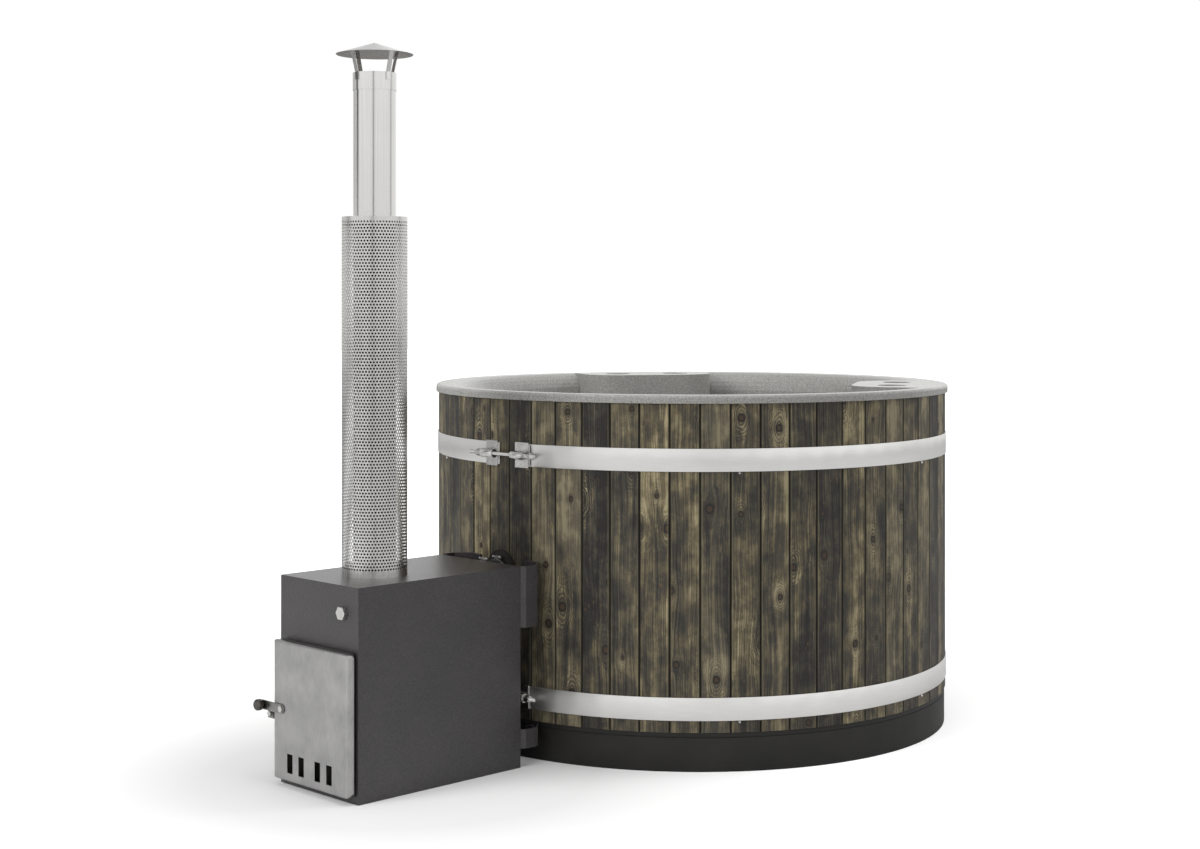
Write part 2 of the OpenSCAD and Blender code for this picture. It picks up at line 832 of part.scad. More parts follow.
module hinge_goosenecks() color(paint) {
    for (z = hinge_zs)
        difference() {
            union() {
                translate([pin_x, pin_y, z - eye_h / 2]) cylinder(h = eye_h, r = eye_r);
                block([pin_x - arm_reach, pin_y - arm_t / 2, z - eye_h / 2],
                      [pin_x, pin_y + arm_t / 2, z + eye_h / 2]);
                block([pin_x - arm_reach - arm_foot / 2, pin_y - arm_t / 2, z - eye_h / 2],
                      [pin_x - arm_reach + arm_foot / 2, stove_front, z + eye_h / 2]);
            }
            translate([pin_x, pin_y, z - eye_h])
                cylinder(h = 2 * eye_h, r = pin_r + run_gap, $fn = 32);
        }
}
module door_inner_plate() color("#8e8d8b") {
    back = stove_front - seal_t - gap;
    difference() {
        block([-pad_half, back - pad_t, pad_low], [pad_half, back, pad_high]);
        air_slots(back - pad_t - over, back + over);
    }
}
module door_insulation() color("#c9b98f") {
    back = stove_front - seal_t - gap - pad_t;
    block([-pad_half, door_front + door_t, slot_z + slot_h + pad_t],
          [pad_half, back, pad_high]);
    for (x = [-pad_half, pad_half - seal_w])
        block([x, door_front + door_t, pad_low], [x + seal_w, back, slot_z + slot_h]);
}
module door_gasket() color("#3a3937") {
    difference() {
        block([-pad_half, stove_front - seal_t - gap, pad_low],
              [pad_half, stove_front - gap, pad_high]);
        block([seal_w - pad_half, stove_front - seal_t - over, pad_low + seal_w],
              [pad_half - seal_w, stove_front + over, pad_high - seal_w]);
    }
}

// Latch on the door and its keeper on the case
module latch_pivot() color(steel) {
    rod_y(latch_x, latch_z, latch_front - gap, door_front + 2 * door_t, latch_bolt_r, 32);
    rod_y(latch_x, latch_z, latch_front - gap - latch_t, latch_front - gap, 2 * latch_bolt_r, 32);
}
module latch_handle() color(steel) {
    difference() {
        union() {
            block([latch_x - latch_len, latch_front, latch_z - latch_w / 2],
                  [latch_x, latch_back, latch_z + latch_w / 2]);
            rod_y(latch_x, latch_z, latch_front, latch_back, latch_w / 2);
            rod_y(latch_x - latch_len, latch_z, latch_front, latch_back, latch_w / 2);
        }
        rod_y(latch_x, latch_z, latch_front - over, latch_back + over, latch_bolt_r + run_gap, 32);
    }
}
module latch_grip() color("#8f8e8b") {
    x = latch_x - latch_len;
    translate([x, latch_front, latch_z]) rotate([90, 0, 0]) rotate_extrude($fn = 48)
        polygon(concat([[0, 0]],
            corner([[0, 0], [grip_r, 0], [grip_r, grip_len]], grip_round),
            corner([[grip_r, 0], [grip_r, grip_len], [0, grip_len]], grip_round),
            [[0, grip_len]]));
}
module latch_keeper() color(steel) {
    side = -keeper_side;
    front = door_front + 2 * keeper_t;
    difference() {
        union() {
            block([side - keeper_t, front, keeper_z],
                  [side, stove_front + keeper_lap, keeper_z + keeper_h]);
            block([side - keeper_reach, front, keeper_z],
                  [side, front + keeper_t, keeper_z + keeper_h]);
        }
        rod_y(keeper_bolt_x, keeper_z + keeper_h / 2, front - over, front + keeper_t + over,
              keeper_bolt_r + weld_gap, 32);
    }
}
module keeper_bolt() color(steel) {
    front = door_front + 2 * keeper_t;
    z = keeper_z + keeper_h / 2;
    rod_y(keeper_bolt_x, z, front, front + keeper_t + keeper_head_h, keeper_bolt_r, 32);
    rod_y(keeper_bolt_x, z, front - keeper_head_h, front, keeper_head_af / sqrt(3), 6);
}

// Flue pipe, heat guard and rain cap
module flue_tube(r, t, z0, z1) {
    translate([0, flue_y, z0]) difference() {
        cylinder(h = z1 - z0, r = r);
        translate([0, 0, -over]) cylinder(h = z1 - z0 + 2 * over, r = r - t);
    }
}
module flue_pipe() color(steel) {
    flue_tube(flue_r, flue_t, stove_h, flue_top);
}
module heat_guard() color(steel) {
    difference() {
        flue_tube(guard_r, flue_t, stove_h, stove_h + guard_h);
        guard_screw_places() translate([0, 0, guard_r - over - flue_t])
            cylinder(h = 3 * over, r = guard_screw_r / 2 + weld_gap, $fn = 24);
    }
}
module guard_places(z) {
    for (i = [0 : 2])
        translate([0, flue_y, z]) rotate([0, 0, guard_turn + 120 * i]) children();
}
module guard_screw_places() {
    guard_places(stove_h + guard_h - spacer_end) rotate([0, 90, 0]) children();
}
module guard_spacers() color(steel) {
    for (z = [stove_h + spacer_end, stove_h + guard_h - spacer_end])
        guard_places(z) difference() {
            block([flue_r + gap, -spacer_w / 2, -spacer_h / 2],
                  [guard_r - flue_t - gap, spacer_w / 2, spacer_h / 2]);
            translate([guard_r - over - 2 * guard_screw_r, 0, 0]) rotate([0, 90, 0])
                cylinder(h = guard_r, r = guard_screw_r / 2 + weld_gap, $fn = 24);
        }
}
module guard_screws() color(steel) {
    guard_screw_places() {
        translate([0, 0, guard_r - 2 * guard_screw_r])
            cylinder(h = 2 * guard_screw_r + weld_gap, r = guard_screw_r / 2, $fn = 24);
        translate([0, 0, guard_r]) cylinder(h = guard_screw_r / 2, r = guard_screw_r, $fn = 32);
    }
}
module cap_sleeve() color(steel) {
    flue_tube(sleeve_r, flue_t, flue_top - sleeve_h, flue_top);
}
module cap_struts() color(steel) {
    low = sleeve_r + gap;
    top = cone_z + cone_h * (1 - (strut_top_r + strut_t) / cone_r) - flue_t - 2 * gap;
    translate([0, flue_y, 0])
        for (i = [0 : 3])
            rotate([90, 0, 90 * i]) translate([0, 0, -strut_w / 2])
                linear_extrude(strut_w) polygon([
                    [low, flue_top - strut_lap],
                    [low + strut_t, flue_top - strut_lap],
                    [low + strut_t, flue_top],
                    [strut_top_r + strut_t, top],
                    [strut_top_r, top],
                    [low, flue_top]]);
}
module cap_cone() color(steel) {
    translate([0, flue_y, cone_z]) rotate_extrude($fn = 96) polygon([
        [0, cone_h],
        [cone_r, 0],
        [cone_r - flue_t, -flue_t],
        [0, cone_h - flue_t - flue_t / 4]]);
}

// Fittings through the tub's wall, hoses and clamps
module wall_flange(z, inner) {
    difference() {
        union() {
            rod_y(0, z, flange_face, flange_y, flange_r, 96);
            rod_y(0, z, flange_face - tail_len + flange_t, flange_y, tube_r);
            rod_y(0, z, flange_y, inner, tube_r);
        }
        rod_y(0, z, flange_face - tail_len, inner + over, tube_r - tube_t);
    }
}
module upper_wall_flange() color(black) {
    wall_flange(outlet_z, liner_t - bench_r);
}
module lower_wall_flange() color(black) {
    wall_flange(return_z, liner_t - well_r);
}
module inlet_grilles() color(black) {
    for (place = [[outlet_z, bench_r], [return_z, well_r]])
        intersection() {
            liner_void(-gap);
            difference() {
                rod_y(0, place[0], -place[1] - 2 * nut_t, nut_t - place[1], nut_r);
                rod_y(0, place[0], -place[1] - 3 * nut_t, liner_t - place[1] + gap,
                      tube_r + weld_gap);
                for (i = [-2 : 2])
                    block([i * tube_t * 3 - tube_t, -place[1] - nut_t, place[0] - tube_r / 2],
                          [i * tube_t * 3 + tube_t, 2 * nut_t - place[1], place[0] + tube_r / 2]);
            }
        }
}
module hose(z) {
    tube_y(0, z, hose_start, hose_end, tube_r + gap / 2 + hose_t, tube_r + gap / 2);
}
module upper_hose() color(black) {
    hose(outlet_z);
}
module lower_hose() color(black) {
    hose(return_z);
}
clamp_in = tube_r + hose_t + gap;
module hose_clamps() color(steel) {
    for (z = [outlet_z, return_z])
        for (y = [clamp_first, clamp_last])
            difference() {
                union() {
                    rod_y(0, z, y - clamp_w / 2, y + clamp_w / 2, clamp_in + clamp_t);
                    block([-housing_w / 2, y - clamp_w / 2, z + clamp_in],
                          [housing_w / 2, y + clamp_w / 2, z + clamp_in + housing_h]);
                }
                rod_y(0, z, y - clamp_w, y + clamp_w, clamp_in);
                rod_x(y, z + clamp_in + housing_h / 2 + clamp_t / 2, -housing_w, housing_w,
                      clamp_screw_r + weld_gap, 32);
            }
}
module clamp_screws() color(steel) {
    for (z = [outlet_z, return_z])
        for (y = [clamp_first, clamp_last])
            rod_x(y, z + clamp_in + housing_h / 2 + clamp_t / 2, -clamp_screw_len / 2,
                  clamp_screw_len / 2, clamp_screw_r, 32);
}

// Drain: a flange in the floor, a bent pipe out through the pan, and a cap
module drain_line(r, past) {
    translate([0, 0, drain_z]) {
        cylinder(h = floor_h - liner_t + past - drain_z, r = r);
        sphere(r = r);
    }
    rod_x(0, drain_z, -pan_r - drain_out - past, 0, r);
}
module drain_flange() color("#8f8e8b") {
    translate([0, 0, floor_h]) difference() {
        union() {
            cylinder(h = drain_flange_t, r = drain_flange_r);
            translate([0, 0, -liner_t]) cylinder(h = liner_t + weld_gap, r = drain_r + tube_t);
        }
        translate([0, 0, -liner_t - over])
            cylinder(h = liner_t + drain_flange_t + 2 * over, r = drain_r);
    }
}
module drain_pipe() color("#6b6a68") {
    difference() {
        drain_line(drain_r + tube_t, 0);
        drain_line(drain_r, over);
    }
}
module drain_cap() color(black) {
    end = -pan_r - drain_out;
    inner = drain_r + tube_t + weld_gap;
    difference() {
        rod_x(0, drain_z, end - tube_t, end - tube_t + cap_len, inner + tube_t);
        rod_x(0, drain_z, end, end + cap_len, inner);
    }
}
module drain_stopper() color(black) {
    low = floor_h + drain_flange_t + gap;
    translate([0, 0, low]) {
        cylinder(h = stopper_t / 2, r = stopper_r);
        cylinder(h = 2 * stopper_t, r = stopper_t / 2);
        translate([0, 0, -drain_flange_t - gap])
            cylinder(h = drain_flange_t + 2 * gap, r = drain_r - 2 * gap);
    }
}

tub_liner();
hose_board();
wall_boards();
hoop_battens();
base_pan();
floor_bearers();
upper_band();
lower_band();
upper_band_lugs();
lower_band_lugs();
upper_tension_rod();
lower_tension_rod();
tension_nuts();
band_screws();
stove_casing();
jacket_plug();
firebox();
fire_grate();
smoke_baffle();
water_stubs();
upper_stove_brackets();
lower_stove_brackets();
bracket_screws();
stove_door();
door_lugs();
hinge_pins();
door_inner_plate();
door_insulation();
door_gasket();
hinge_goosenecks();
latch_pivot();
latch_handle();
latch_grip();
latch_keeper();
keeper_bolt();
flue_pipe();
heat_guard();
guard_spacers();
guard_screws();
cap_sleeve();
cap_struts();
cap_cone();
upper_wall_flange();
lower_wall_flange();
inlet_grilles();
upper_hose();
lower_hose();
hose_clamps();
clamp_screws();
drain_flange();
drain_pipe();
drain_cap();
drain_stopper();
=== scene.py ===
import math

import bmesh
import bpy
from mathutils import Matrix, Vector


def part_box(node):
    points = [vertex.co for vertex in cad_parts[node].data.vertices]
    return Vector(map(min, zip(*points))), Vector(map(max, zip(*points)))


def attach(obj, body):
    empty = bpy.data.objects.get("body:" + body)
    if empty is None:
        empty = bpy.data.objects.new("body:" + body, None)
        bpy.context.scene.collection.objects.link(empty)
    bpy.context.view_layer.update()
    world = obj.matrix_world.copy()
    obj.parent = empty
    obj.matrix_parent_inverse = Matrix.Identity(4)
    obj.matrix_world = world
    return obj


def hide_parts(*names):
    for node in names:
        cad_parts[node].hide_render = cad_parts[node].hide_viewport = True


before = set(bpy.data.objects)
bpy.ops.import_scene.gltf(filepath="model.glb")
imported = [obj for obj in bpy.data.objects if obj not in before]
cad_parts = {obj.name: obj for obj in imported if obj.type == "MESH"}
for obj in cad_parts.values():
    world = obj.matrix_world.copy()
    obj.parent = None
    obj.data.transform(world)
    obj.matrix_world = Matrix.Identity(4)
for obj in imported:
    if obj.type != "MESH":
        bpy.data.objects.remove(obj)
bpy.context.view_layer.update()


# Camera. It stands 5.7 m from the tub's middle and 26 cm above its rim, and looks
# level past the stove; the shift alone brings the floor into the picture.
LENS_MM, SENSOR_MM = 57.30, 36
SHIFT = (-0.02063, -0.10936)
CAMERA_AT = (3.899, -4.177, 1.2445)
CAMERA_TURN_DEG = 45.01
camera = bpy.data.objects.new("camera", bpy.data.cameras.new("camera"))
camera.data.lens, camera.data.sensor_width = LENS_MM, SENSOR_MM
camera.data.shift_x, camera.data.shift_y = SHIFT
camera.location = CAMERA_AT
camera.rotation_euler = (math.radians(90), 0, math.radians(CAMERA_TURN_DEG))
bpy.context.collection.objects.link(camera)
bpy.context.scene.camera = camera


# Studio. A white room with a wide softbox in front of the stove, one overhead
# and a weaker one behind the tub. Upright flags, a dimmer ceiling and a brighter
# band under it show only in mirrored light. The floor is a pale sheet that keeps
# the soft shadow.
def linear(hex_colour):
    """An sRGB hex colour as Blender's linear red, green, blue and alpha."""
    parts = [int(hex_colour[i:i + 2], 16) / 255 for i in (1, 3, 5)]
    return [p / 12.92 if p <= 0.04045 else ((p + 0.055) / 1.055) ** 2.4 for p in parts] + [1.0]


def put(owner, kind, links=(), out=0, stops=(), **settings):
    """Adds a node, or takes the node given, sets it and links it; gives one of its outputs."""
    tree = owner.node_tree
    node = kind if isinstance(kind, bpy.types.Node) else tree.nodes.new("ShaderNode" + kind)
    for key, value in settings.items():
        setattr(node, key, value)
    for at, (place, colour) in enumerate(stops):
        ramp = node.color_ramp.elements
        stop = ramp[at] if at < len(ramp) else ramp.new(place)
        stop.position, stop.color = place, linear(colour)
    for socket, value in dict(links).items():
        if isinstance(value, bpy.types.NodeSocket):
            tree.links.new(value, node.inputs[socket])
        else:
            node.inputs[socket].default_value = value
    return node.outputs[out] if node.outputs else None


def seen_directly(owner):
    """1 for a ray that comes straight from the camera, a mirror or glass, and 0 for one that lights."""
    path = put(owner, "LightPath").node.outputs
    shine = put(owner, "Math", {0: path["Is Glossy Ray"], 1: path["Is Transmission Ray"]},
                operation="MAXIMUM")
    return put(owner, "Math", {0: path["Is Camera Ray"], 1: shine}, operation="MAXIMUM")


def softbox(name, place, target, size, watts):
    lamp = bpy.data.objects.new(name, bpy.data.lights.new(name, "AREA"))
    lamp.data.shape, lamp.data.size, lamp.data.energy = "DISK", size, watts
    lamp.location = place
    lamp.rotation_euler = (Vector(target) - Vector(place)).to_track_quat("-Z", "Y").to_euler()
    lamp.visible_glossy = False
    bpy.context.collection.objects.link(lamp)


# A flag: the way it stands in, half its width, both in degrees round the stove, its
# brightness, and the slope at which its lower edge hangs.
FLAGS = ((217, 8, 0.05, 0.03), (175, 30, 0.6, 0.03), (316, 4, 0.35, -1.0), (61, 5, 0.5, -1.0))
FLAG_BLUR, HEM_BLUR = 0.3, 0.02
# the slopes between which each sets in, and its brightness
BAND, CEILING = (0.12, 0.2, 1.4), (0.32, 0.46, 0.6)
WORLD_LIGHT = 0.42
world = bpy.data.worlds.new("white_room")
world.use_nodes = True
bpy.context.scene.world = world
towards = put(world, "SeparateXYZ", {0: put(world, "TexCoord")}).node.outputs
round_about = put(world, "Math", {0: towards[1], 1: towards[0]}, operation="ARCTAN2")
band = put(world, "MapRange", {0: towards[2], 1: BAND[0], 2: BAND[1], 3: 1.0, 4: BAND[2]})
ceiling = put(world, "MapRange",
              {0: towards[2], 1: CEILING[0], 2: CEILING[1], 3: 1.0, 4: CEILING[2]})
mirrored = put(world, "Math", {0: band, 1: ceiling}, operation="MULTIPLY")
for centre, half, level, hem in FLAGS:
    aside = put(world, "Math", {0: round_about, 1: math.radians(centre)}, operation="SUBTRACT")
    aside = put(world, "Math", {0: aside, 1: math.pi, 2: -math.pi}, operation="WRAP")
    aside = put(world, "Math", {0: aside}, operation="ABSOLUTE")
    hung = put(world, "MapRange",
               {0: towards[2], 1: hem - HEM_BLUR, 2: hem + HEM_BLUR, 3: 1.0, 4: level})
    dark, clear = math.radians(half * (1 - FLAG_BLUR)), math.radians(half * (1 + FLAG_BLUR))
    flag = put(world, "MapRange", {0: aside, 1: dark, 2: clear, 3: hung, 4: 1.0})
    mirrored = put(world, "Math", {0: mirrored, 1: flag}, operation="MULTIPLY")
straight = put(world, "LightPath", out=0)
direct = put(world, "MapRange", {0: straight, 3: mirrored, 4: 1.0})
strength = put(world, "MapRange", {0: seen_directly(world), 3: WORLD_LIGHT, 4: direct})
put(world, world.node_tree.nodes["Background"], {"Color": (1, 1, 1, 1), "Strength": strength})

softbox("front_softbox", (-0.8, -6.5, 3.6), (0, -0.8, 0.5), 3.5, 300)
softbox("rear_softbox", (3.6, 4.6, 3.2), (0.2, 0, 0.6), 3.0, 120)
softbox("top_softbox", (0.9, -0.8, 5.6), (0, -0.4, 0), 4.0, 150)

bpy.context.scene.view_settings.view_transform = "Standard"

FLOOR_HALF = 30.0
STOVE_AT = (0.0, -1.1, 0.0)
paper = bpy.data.materials.new("studio_paper")
paper.use_nodes = True
floor_mesh = bpy.data.meshes.new("studio_floor")
corners = [(x * FLOOR_HALF, y * FLOOR_HALF, 0) for x, y in ((-1, -1), (1, -1), (1, 1), (-1, 1))]
floor_mesh.from_pydata(corners, [], [(0, 1, 2, 3)])
floor = bpy.data.objects.new("studio_floor", floor_mesh)
bpy.context.collection.objects.link(floor)
floor_mesh.materials.append(paper)
# the sheet glows for the camera alone, least round the stove, so that only the
# soft shadow there is seen
place = put(paper, "TexCoord", out=3)
away = put(paper, "VectorMath", {0: place, 1: STOVE_AT}, out=1, operation="DISTANCE")
near = put(paper, "MapRange", {0: away, 1: 0.5, 2: 1.2, 3: 0.05, 4: 0.5})
far = put(paper, "MapRange", {0: away, 1: 1.2, 2: 3.2, 3: 0.0, 4: 1.0})
glow = put(paper, "Math", {0: near, 1: far}, operation="MAXIMUM")
glow = put(paper, "Math", {0: put(paper, "LightPath", out=0), 1: glow}, operation="MULTIPLY")
put(paper, paper.node_tree.nodes["Principled BSDF"],
    {"Base Color": linear("#d8d8d8"), "Roughness": 0.9, "Specular IOR Level": 0.0,
     "Emission Color": (1, 1, 1, 1), "Emission Strength": glow})


# Pan and bearers. A black polyethylene pan, rotation moulded in one piece with
# a groove round its lip; four spruce bearers lie in it and carry the liner.
def coat(name):
    """An empty material with Blender's usual shader in it, and that shader."""
    made = bpy.data.materials.new(name)
    made.use_nodes = True
    return made, made.node_tree.nodes["Principled BSDF"]


def dress(made, *nodes):
    for name in nodes:
        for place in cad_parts[name].material_slots:
            place.material = made


# corners this near are one, flat faces bend less than FLAT_DEG, and an edge is
# one where the skin bends by more than SHARP_DEG
JOIN_M, FLAT_DEG, SHARP_DEG = 1e-5, 0.6, 40


def ease(width_mm, *nodes, steps=2):
    """Rounds the sharp edges of CAD pieces, which catch the light on the real ones."""
    for name in nodes:
        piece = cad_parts[name]
        piece.modifiers.new("joined", "WELD").merge_threshold = JOIN_M
        flat = piece.modifiers.new("flat", "DECIMATE")
        flat.decimate_type, flat.angle_limit = "DISSOLVE", math.radians(FLAT_DEG)
        edge = piece.modifiers.new("eased", "BEVEL")
        edge.width, edge.segments, edge.limit_method = width_mm / 1000, steps, "ANGLE"
        edge.angle_limit = math.radians(SHARP_DEG)
        edge.harden_normals = True


# Moulded polyethylene: dull black with the fine sandy skin of the mould, which
# scatters a wide soft highlight; the grit is drawn 1.2 mm wide so that it shows.
GRIT_MM = 1.2
CLOUDS_PER_M = 7.0
moulded_black, shader = coat("moulded_black_polyethylene")
place = put(moulded_black, "TexCoord", out=3)
grit = put(moulded_black, "TexNoise", {"Vector": place, "Scale": 1000 / GRIT_MM, "Detail": 2.0})
cloud = put(moulded_black, "TexNoise", {"Vector": place, "Scale": CLOUDS_PER_M, "Detail": 3.0})
tone = put(moulded_black, "ValToRGB", {0: cloud}, stops=[(0.3, "#1c1b1a"), (0.7, "#252422")])
put(moulded_black, shader, {
    "Base Color": tone,
    "Roughness": put(moulded_black, "MapRange", {0: cloud, 3: 0.5, 4: 0.62}),
    "Specular IOR Level": 0.3,
    "Normal": put(moulded_black, "Bump", {"Height": grit, "Strength": 0.25, "Distance": 0.0004}),
})
dress(moulded_black, "base_pan", "upper_wall_flange", "lower_wall_flange", "drain_cap")
ease(2.0, "base_pan")

# Planed spruce, untreated: pale yellow with rings about 5 mm apart. A wave
# texture of scale 1 repeats every tenth of pi.
RING_MM = 5
SWAYS_PER_M = 3.0
WAVE = math.pi / 10
planed_spruce, shader = coat("planed_spruce")
place = put(planed_spruce, "TexCoord", out=3)
sway = put(planed_spruce, "TexNoise", {"Vector": place, "Scale": SWAYS_PER_M, "Detail": 2.0}, out=1)
bent = put(planed_spruce, "MixRGB", {"Fac": 0.04, "Color1": place, "Color2": sway})
rings = put(planed_spruce, "TexWave",
            {"Vector": bent, "Scale": 1000 / RING_MM * WAVE, "Distortion": 2.0, "Detail": 3.0},
            bands_direction="Z", wave_profile="SAW")
put(planed_spruce, shader, {
    "Base Color": put(planed_spruce, "ValToRGB", {0: rings}, stops=[
        (0.0, "#cdb387"), (0.7, "#bb9a69"), (1.0, "#94703f")]),
    "Roughness": put(planed_spruce, "MapRange", {0: rings, 3: 0.62, 4: 0.75}),
    "Normal": put(planed_spruce, "Bump", {"Height": rings, "Strength": 0.15, "Distance": 0.0004}),
})
dress(planed_spruce, "floor_bearers", "hoop_battens")
ease(2.5, "floor_bearers")


# Liner. One acrylic capped ABS sheet, drawn warm over a mould: bench, foot
# well, two cup trays and a rolled rim that hooks over the boards.
# Granite look acrylic: warm grey under a satin gloss, full of darker and paler
# grains about 2 mm across that stay just visible.
GRAIN_MM = 1.8
HAZE = 0.15
acrylic, shader = coat("granite_acrylic")
place = put(acrylic, "TexCoord", out=3)
grains = put(acrylic, "TexVoronoi", {"Vector": place, "Scale": 1000 / GRAIN_MM}, out=1)
grains = put(acrylic, "SeparateColor", {0: grains}, out=0)
haze = put(acrylic, "TexNoise", {"Vector": place, "Scale": 1000 / (6 * GRAIN_MM), "Detail": 4.0})
mixed = put(acrylic, "Math", {0: haze, 1: HAZE}, operation="MULTIPLY")
mixed = put(acrylic, "Math", {0: grains, 1: 1 - HAZE, 2: mixed}, operation="MULTIPLY_ADD")
put(acrylic, shader, {
    "Base Color": put(acrylic, "ValToRGB", {0: mixed}, stops=[
        (0.05, "#6f6e6b"), (0.25, "#858480"), (0.6, "#8d8c89"), (0.9, "#a3a29f")]),
    "Roughness": put(acrylic, "MapRange", {0: mixed, 3: 0.26, 4: 0.36}),
    "IOR": 1.49,
    "Coat Weight": 0.2,
    "Coat Roughness": 0.2,
    "Normal": put(acrylic, "Bump", {"Height": haze, "Strength": 0.05, "Distance": 0.0002}),
})
dress(acrylic, "tub_liner")


# Wall boards. 59 spruce boards, planed, bevelled and stained, stand on the
# pan's lip side by side round the liner and are held by the straps alone.
BOARDS = 59
FIRST_BOARD_DEG = -90.85
BOARD_M = 0.0799
SEAM_HALF_M = 0.0032
KNOT_ACROSS_M, KNOT_ALONG_M = 0.075, 0.20
KNOT_R_M = (0.0040, 0.0115)
NO_KNOT_R_M = 0.0002
NO_KNOT_SHARE = 0.42
RAGGED_MM, SWAY_MM = 12.5, 125
SWAY_M = 0.03
LOG_LONG_M, LOG_WIDE_M = 9.0, 7.0
FULL_TURN = 2 * math.pi

# Stained spruce: a thin black brown stain that lies in smoky clouds, dark where
# the wood drank it and olive where it didn't; the hard rings show through as
# pale lines that part round the knots, and a knot keeps a rusty heart.
spruce, shader = coat("stained_spruce")
place = put(spruce, "TexCoord", out=3)
axis = put(spruce, "SeparateXYZ", {0: place}).node.outputs
# counted in boards round the tub: the whole number is the board, the rest the
# place across it
count = put(spruce, "Math", {0: axis[1], 1: axis[0]}, operation="ARCTAN2")
count = put(spruce, "Math", {0: count, 1: BOARDS / FULL_TURN, 2: 0.5 - FIRST_BOARD_DEG * BOARDS / 360},
            operation="MULTIPLY_ADD")
board = put(spruce, "Math", {0: count}, operation="FLOOR")
board = put(spruce, "Math", {0: board, 1: float(BOARDS)}, operation="FLOORED_MODULO")
lot = put(spruce, "TexWhiteNoise", {"W": board}, noise_dimensions="1D").node.outputs
luck = put(spruce, "SeparateColor", {0: lot["Color"]}).node.outputs
across = put(spruce, "Math", {0: count}, operation="FRACT")
across = put(spruce, "Math", {0: across, 1: 0.5}, operation="SUBTRACT")
across = put(spruce, "Math", {0: across, 1: BOARD_M}, operation="MULTIPLY")
# each board is cut from another place of the log
along = put(spruce, "Math", {0: luck[0], 1: LOG_LONG_M, 2: axis[2]}, operation="MULTIPLY_ADD")
side_on = put(spruce, "Math", {0: luck[1], 1: LOG_WIDE_M, 2: across}, operation="MULTIPLY_ADD")

# knots: one to a cell of 75 by 200 mm, and only some of the cells have one
cell_u = put(spruce, "Math", {0: side_on, 1: KNOT_ACROSS_M}, operation="DIVIDE")
cell_v = put(spruce, "Math", {0: along, 1: KNOT_ALONG_M}, operation="DIVIDE")
cell = put(spruce, "CombineXYZ", {0: cell_u, 1: cell_v})
cell = put(spruce, "TexVoronoi", {"Vector": cell, "Scale": 1.0, "Randomness": 0.8},
           voronoi_dimensions="2D").node.outputs
heart = put(spruce, "SeparateXYZ", {0: cell["Position"]}).node.outputs
knot_luck = put(spruce, "SeparateColor", {0: cell["Color"]}).node.outputs
off_u = put(spruce, "Math", {0: cell_u, 1: heart[0]}, operation="SUBTRACT")
off_u = put(spruce, "Math", {0: off_u, 1: KNOT_ACROSS_M}, operation="MULTIPLY")
off_v = put(spruce, "Math", {0: cell_v, 1: heart[1]}, operation="SUBTRACT")
off_v = put(spruce, "Math", {0: off_v, 1: KNOT_ALONG_M}, operation="MULTIPLY")
on_board = put(spruce, "CombineXYZ", {0: side_on, 1: along})
ragged = put(spruce, "TexNoise", {"Vector": on_board, "Scale": 1000 / RAGGED_MM, "Detail": 2.0})
ragged = put(spruce, "MapRange", {0: ragged, 3: 0.7, 4: 1.3})
has_knot = put(spruce, "Math", {0: knot_luck[0], 1: NO_KNOT_SHARE}, operation="GREATER_THAN")
knot_r = put(spruce, "MapRange", {0: knot_luck[1], 3: KNOT_R_M[0], 4: KNOT_R_M[1]})
knot_r = put(spruce, "Math", {0: knot_r, 1: has_knot}, operation="MULTIPLY")
knot_r = put(spruce, "Math", {0: knot_r, 1: NO_KNOT_R_M}, operation="MAXIMUM")


def from_knot(stretch):
    """Knot radii from the knot's heart, on ovals so many times as long as they are wide."""
    shrunk = put(spruce, "Math", {0: off_v, 1: stretch}, operation="DIVIDE")
    far = put(spruce, "CombineXYZ", {0: off_u, 1: shrunk})
    far = put(spruce, "VectorMath", {0: far}, out=1, operation="LENGTH")
    far = put(spruce, "Math", {0: far, 1: ragged}, operation="MULTIPLY")
    return put(spruce, "Math", {0: far, 1: knot_r}, operation="DIVIDE")


near, oval = from_knot(1.15), from_knot(2.2)
# the fibres part round each knot, and the pull dies away within four radii
pull = put(spruce, "Math", {0: oval, 1: 1.0}, operation="MAXIMUM")
pull = put(spruce, "Math", {0: pull, 1: -1.6}, operation="POWER")
pull = put(spruce, "Math", {0: off_u, 1: pull}, operation="MULTIPLY")
fibre_at = put(spruce, "Math", {0: side_on, 1: pull}, operation="SUBTRACT")
# and sway by up to SWAY_M on their way up the board
slow = put(spruce, "Math", {0: along, 1: 0.35}, operation="MULTIPLY")
slow = put(spruce, "CombineXYZ", {0: fibre_at, 1: slow})
sway = put(spruce, "TexNoise", {"Vector": slow, "Scale": 1000 / SWAY_MM, "Detail": 2.0})
fibre_at = put(spruce, "Math", {0: sway, 1: SWAY_M, 2: fibre_at}, operation="MULTIPLY_ADD")


def clouds(across_m, along_m, detail, low, high):
    """Noise on the board, its patches so many metres wide and long, spread out to 0 and 1."""
    at_u = put(spruce, "Math", {0: fibre_at, 1: across_m}, operation="DIVIDE")
    at_v = put(spruce, "Math", {0: along, 1: along_m}, operation="DIVIDE")
    at = put(spruce, "CombineXYZ", {0: at_u, 1: at_v})
    noise = put(spruce, "TexNoise", {"Vector": at, "Scale": 1.0, "Detail": detail, "Roughness": 0.6})
    return put(spruce, "MapRange", {0: noise, 1: low, 2: high})


# wide smoke, patches, streaks 2 cm wide, hard rings under 4 mm wide and single fibres
smoke = clouds(0.09, 0.32, 5.0, 0.40, 0.60)
patch = clouds(0.045, 0.06, 6.0, 0.42, 0.60)
streak = clouds(0.019, 0.9, 3.0, 0.34, 0.66)
grain = clouds(0.0036, 0.45, 2.0, 0.38, 0.62)
fibre = clouds(0.0012, 0.07, 3.0, 0.3, 0.7)
